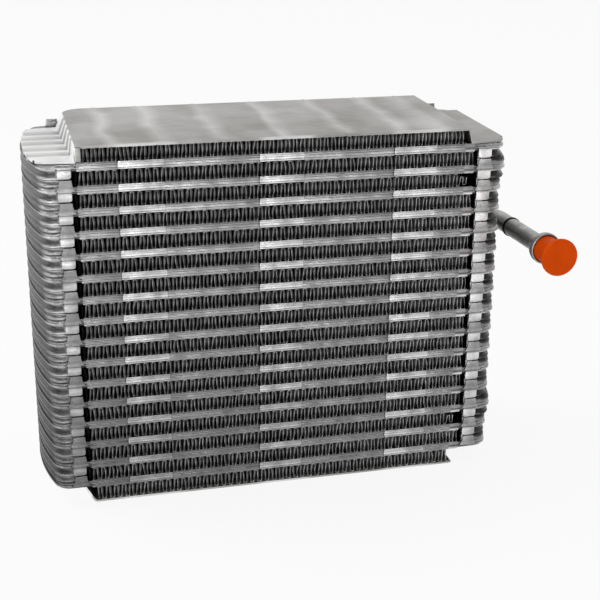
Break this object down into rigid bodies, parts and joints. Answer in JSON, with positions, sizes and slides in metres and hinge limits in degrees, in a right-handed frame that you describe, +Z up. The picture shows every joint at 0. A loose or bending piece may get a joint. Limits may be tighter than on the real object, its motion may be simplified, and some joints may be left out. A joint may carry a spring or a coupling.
{
  "type": "evaporator core",
  "caption": "Plate-fin evaporator core: flat tubes brazed from stamped plates, folded fin strips between them, a tank at each end and two capped pipes.",
  "frame": {"origin": "centre of the bottom end sheet's underside", "axes": "+X along the tubes towards the pipes' tank, +Y through the core from front to back, +Z up across the tubes"},
  "size_m": [0.2772, 0.125, 0.1934],
  "materials": {
    "plate_aluminium": "bare brazed aluminium, slightly matt",
    "fin_aluminium": "thin folded aluminium strip, matt",
    "sheet_aluminium": "matt aluminium sheet with faint streaks and stains from brazing",
    "pipe_aluminium": "drawn aluminium tube, matt",
    "cap_plastic": "orange moulded plastic"
  },
  "bodies": {
    "root": {"upper_plate_01": "plate_aluminium", "lower_plate_01": "plate_aluminium", "upper_plate_02": "plate_aluminium", "lower_plate_02": "plate_aluminium", "upper_plate_03": "plate_aluminium", "lower_plate_03": "plate_aluminium", "upper_plate_04": "plate_aluminium", "lower_plate_04": "plate_aluminium", "upper_plate_05": "plate_aluminium", "lower_plate_05": "plate_aluminium", "upper_plate_06": "plate_aluminium", "lower_plate_06": "plate_aluminium", "upper_plate_07": "plate_aluminium", "lower_plate_07": "plate_aluminium", "upper_plate_08": "plate_aluminium", "lower_plate_08": "plate_aluminium", "upper_plate_09": "plate_aluminium", "lower_plate_09": "plate_aluminium", "upper_plate_10": "plate_aluminium", "lower_plate_10": "plate_aluminium", "upper_plate_11": "plate_aluminium", "lower_plate_11": "plate_aluminium", "upper_plate_12": "plate_aluminium", "lower_plate_12": "plate_aluminium", "upper_plate_13": "plate_aluminium", "lower_plate_13": "plate_aluminium", "upper_plate_14": "plate_aluminium", "lower_plate_14": "plate_aluminium", "upper_plate_15": "plate_aluminium", "lower_plate_15": "plate_aluminium", "upper_plate_16": "plate_aluminium", "lower_plate_16": "plate_aluminium", "fin_strip_01": "fin_aluminium", "fin_strip_02": "fin_aluminium", "fin_strip_03": "fin_aluminium", "fin_strip_04": "fin_aluminium", "fin_strip_05": "fin_aluminium", "fin_strip_06": "fin_aluminium", "fin_strip_07": "fin_aluminium", "fin_strip_08": "fin_aluminium", "fin_strip_09": "fin_aluminium", "fin_strip_10": "fin_aluminium", "fin_strip_11": "fin_aluminium", "fin_strip_12": "fin_aluminium", "fin_strip_13": "fin_aluminium", "fin_strip_14": "fin_aluminium", "fin_strip_15": "fin_aluminium", "fin_strip_16": "fin_aluminium", "fin_strip_17": "fin_aluminium", "top_end_sheet": "sheet_aluminium", "bottom_end_sheet": "sheet_aluminium", "inlet_pipe": "pipe_aluminium", "outlet_pipe": "pipe_aluminium", "inlet_cap": "cap_plastic", "outlet_cap": "cap_plastic"}
  },
  "joints": []
}
